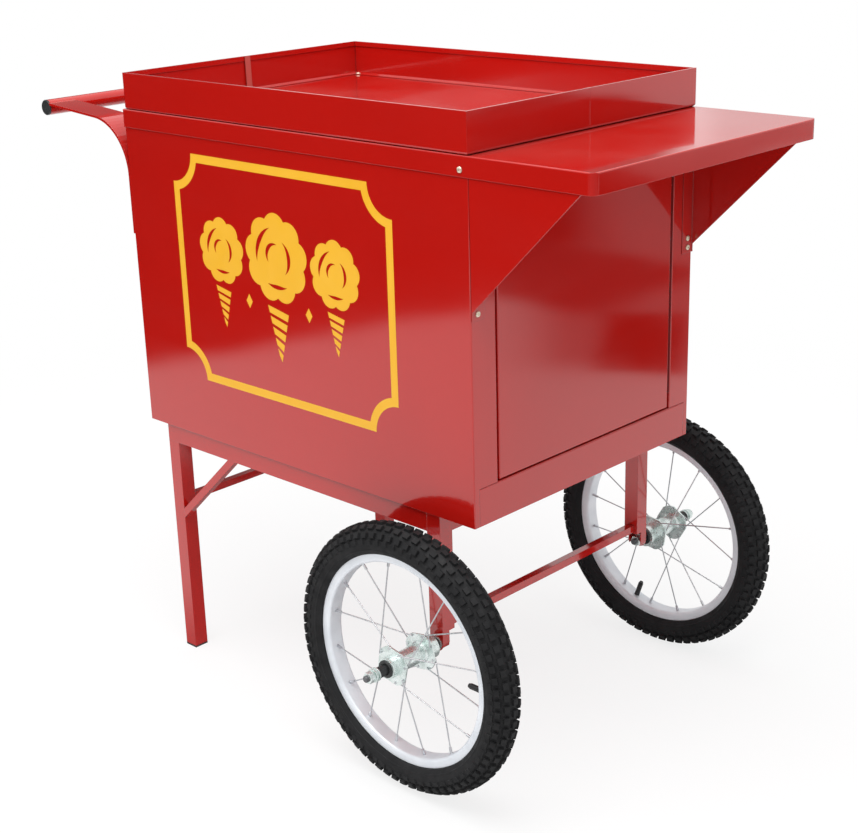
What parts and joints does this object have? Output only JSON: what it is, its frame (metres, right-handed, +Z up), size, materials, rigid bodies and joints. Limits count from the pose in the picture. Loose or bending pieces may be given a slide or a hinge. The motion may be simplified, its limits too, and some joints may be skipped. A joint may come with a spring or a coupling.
{
  "type": "cotton candy cart",
  "caption": "Hand cart with a red sheet steel cabinet, an open tray on the deck, an end shelf, a door under it, a push bar, legs and spoked wheels, for making and selling spun sugar.",
  "frame": {"origin": "on the ground, under the middle of the cart's box", "axes": "+X from the push bar to the shelf, +Y from the front (the side with the painted border) to the back, +Z up"},
  "size_m": [1.1514, 0.771, 0.9675],
  "materials": {
    "red_paint": "glossy red enamel on sheet steel and tube",
    "black_plastic": "satin moulded black",
    "tyre_rubber": "matte knobby tread",
    "tube_rubber": "smooth butyl",
    "rim_silver": "matte silver",
    "bright_steel": "drawn and turned steel",
    "zinc_plate": "bright zinc plate"
  },
  "bodies": {
    "cart": {"front_panel": "red_paint", "back_panel": "red_paint", "handle_end_panel": "red_paint", "floor_pan": "red_paint", "door_sill": "red_paint", "door_header": "red_paint", "top_plate": "red_paint", "front_gusset": "red_paint", "back_gusset": "red_paint", "tray_front_half": "red_paint", "tray_back_half": "red_paint", "tray_joint_strips": "red_paint", "front_rail": "red_paint", "back_rail": "red_paint", "leg_cross_rail": "red_paint", "post_cross_rail": "red_paint", "front_leg": "red_paint", "back_leg": "red_paint", "leg_plugs": "black_plastic", "front_brace": "red_paint", "back_brace": "red_paint", "leg_stretcher": "red_paint", "front_post": "red_paint", "back_post": "red_paint", "post_tie_bar": "red_paint", "handle_bar": "red_paint", "handle_caps": "black_plastic", "front_handle_arm": "red_paint", "back_handle_arm": "red_paint", "handle_rivets": "zinc_plate", "sheet_screws": "zinc_plate", "hinge_fixed_leaf": "red_paint", "hinge_pin": "bright_steel", "door_catch": "black_plastic", "wheel_axles": "bright_steel", "axle_cones": "black_plastic", "axle_washers": "zinc_plate", "axle_nuts": "zinc_plate"},
    "front_wheel": {"front_tyre": "tyre_rubber", "front_tube": "tube_rubber", "front_rim": "rim_silver", "front_spokes": "bright_steel", "front_nipples": "bright_steel", "front_hub": "zinc_plate", "front_bearing_balls": "bright_steel", "front_dust_caps": "black_plastic"},
    "back_wheel": {"back_tyre": "tyre_rubber", "back_tube": "tube_rubber", "back_rim": "rim_silver", "back_spokes": "bright_steel", "back_nipples": "bright_steel", "back_hub": "zinc_plate", "back_bearing_balls": "bright_steel", "back_dust_caps": "black_plastic"},
    "door": {"door": "red_paint", "hinge_door_leaf": "red_paint", "catch_striker": "bright_steel"}
  },
  "joints": [
    {"name": "front_wheel_spin", "type": "hinge", "parent": "cart", "child": "front_wheel", "pos_m": [0.29175, -0.303, 0.203], "axis": [0, 1, 0], "continuous": true},
    {"name": "back_wheel_spin", "type": "hinge", "parent": "cart", "child": "back_wheel", "pos_m": [0.29175, 0.303, 0.203], "axis": [0, 1, 0], "continuous": true},
    {"name": "door_swing", "type": "hinge", "parent": "cart", "child": "door", "pos_m": [0.37235, 0.1954, 0.66], "axis": [0, 0, 1], "range_deg": [0, 100]}
  ]
}
